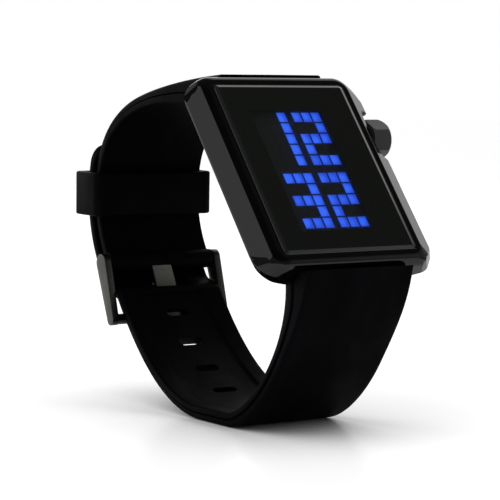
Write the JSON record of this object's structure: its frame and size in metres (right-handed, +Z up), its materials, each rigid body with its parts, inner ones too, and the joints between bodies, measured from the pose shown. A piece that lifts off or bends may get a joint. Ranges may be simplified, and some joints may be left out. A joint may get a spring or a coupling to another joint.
{
  "type": "led watch",
  "caption": "Square digital wristwatch with a window of small blue lights, a six-sided push crown and a closed black rubber strap with buckle and keeper, standing on the strap.",
  "frame": {"origin": "middle of the bounding box at its bottom, on the surface that the strap loop stands on", "axes": "+X to 3 o'clock, where the crown is, -Y to the side that the face looks to, +Z up"},
  "size_m": [0.0382, 0.0774, 0.0604],
  "materials": {
    "case": "gloss black",
    "crystal": "dark tinted, polished",
    "seal": "matte",
    "mask": "matte black",
    "grid": "matte black",
    "lit": "clear blue, lit",
    "unlit": "clear, not lit",
    "led": "clear",
    "board": "satin green",
    "chip": "matte black",
    "ceramic_brown": "satin",
    "steel": "satin",
    "bright_steel": "polished",
    "brass": "satin",
    "frame": "matte white",
    "film": "clear yellow",
    "plunger": "matte black",
    "strap": "matte black"
  },
  "bodies": {
    "watch": {"case_body": "case", "crystal": "crystal", "crystal_gasket": "seal", "display_mask": "mask", "light_grid": "grid", "lit_cells": "lit", "unlit_cells": "unlit", "led_chips": "led", "display_board": "board", "controller_chip": "chip", "quartz_can": "bright_steel", "board_capacitors": "ceramic_brown", "push_switch": "steel", "module_frame": "frame", "battery": "bright_steel", "battery_clip": "brass", "battery_insulator": "film", "case_back": "steel", "back_gasket": "seal", "back_screws": "bright_steel", "crown_tube": "bright_steel", "crown_spring": "bright_steel", "crown_oring": "seal", "strap_short": "strap", "strap_long": "strap", "lug_bar_12": "steel", "lug_bar_6": "steel", "lug_spring_12": "bright_steel", "lug_spring_6": "bright_steel"},
    "crown": {"crown_cap": "case", "crown_stem": "bright_steel", "stem_clip": "bright_steel"},
    "plunger": {"switch_plunger": "plunger"},
    "pin_12_left": {"lug_pin_12_left": "steel"},
    "pin_12_right": {"lug_pin_12_right": "steel"},
    "pin_6_left": {"lug_pin_6_left": "steel"},
    "pin_6_right": {"lug_pin_6_right": "steel"},
    "buckle": {"buckle_frame": "steel", "buckle_pin": "steel"},
    "tongue": {"buckle_tongue": "steel"},
    "keeper": {"keeper": "strap"}
  },
  "joints": [
    {"name": "crown_push", "type": "slide", "parent": "watch", "child": "crown", "axis": [-1, 0, 0], "range_m": [0, 0.0005], "stiffness_N_per_m": 200, "springref_m": -0.004, "deforming": ["crown_spring"]},
    {"name": "switch_press", "type": "slide", "parent": "watch", "child": "plunger", "axis": [-1, 0, 0], "range_m": [0, 0.0005]},
    {"name": "lug_pin_12_left_slide", "type": "slide", "parent": "watch", "child": "pin_12_left", "axis": [1, 0, 0], "range_m": [0, 0.0012], "stiffness_N_per_m": 100, "springref_m": -0.004, "deforming": ["lug_spring_12"]},
    {"name": "lug_pin_12_right_slide", "type": "slide", "parent": "watch", "child": "pin_12_right", "axis": [-1, 0, 0], "range_m": [0, 0.0012], "stiffness_N_per_m": 100, "springref_m": -0.004, "deforming": ["lug_spring_12"]},
    {"name": "lug_pin_6_left_slide", "type": "slide", "parent": "watch", "child": "pin_6_left", "axis": [1, 0, 0], "range_m": [0, 0.0012], "stiffness_N_per_m": 100, "springref_m": -0.004, "deforming": ["lug_spring_6"]},
    {"name": "lug_pin_6_right_slide", "type": "slide", "parent": "watch", "child": "pin_6_right", "axis": [-1, 0, 0], "range_m": [0, 0.0012], "stiffness_N_per_m": 100, "springref_m": -0.004, "deforming": ["lug_spring_6"]},
    {"name": "buckle_swing", "type": "hinge", "parent": "watch", "child": "buckle", "pos_m": [-0.00122, 0.0276, 0.02562], "axis": [1, 0, 0], "range_deg": [0, 6]},
    {"name": "tongue_swing", "type": "hinge", "parent": "watch", "child": "tongue", "pos_m": [-0.00122, 0.0276, 0.02562], "axis": [1, 0, 0], "range_deg": [0, 6]},
    {"name": "keeper_slide", "type": "hinge", "parent": "watch", "child": "keeper", "pos_m": [-0.00122, 0.01213, 0.0379], "axis": [1, 0, 0], "range_deg": [-14, 6]}
  ],
  "couplings": [
    {"joint": "switch_press", "follows": "crown_push", "ratio": 1},
    {"joint": "tongue_swing", "follows": "buckle_swing", "ratio": 1}
  ]
}
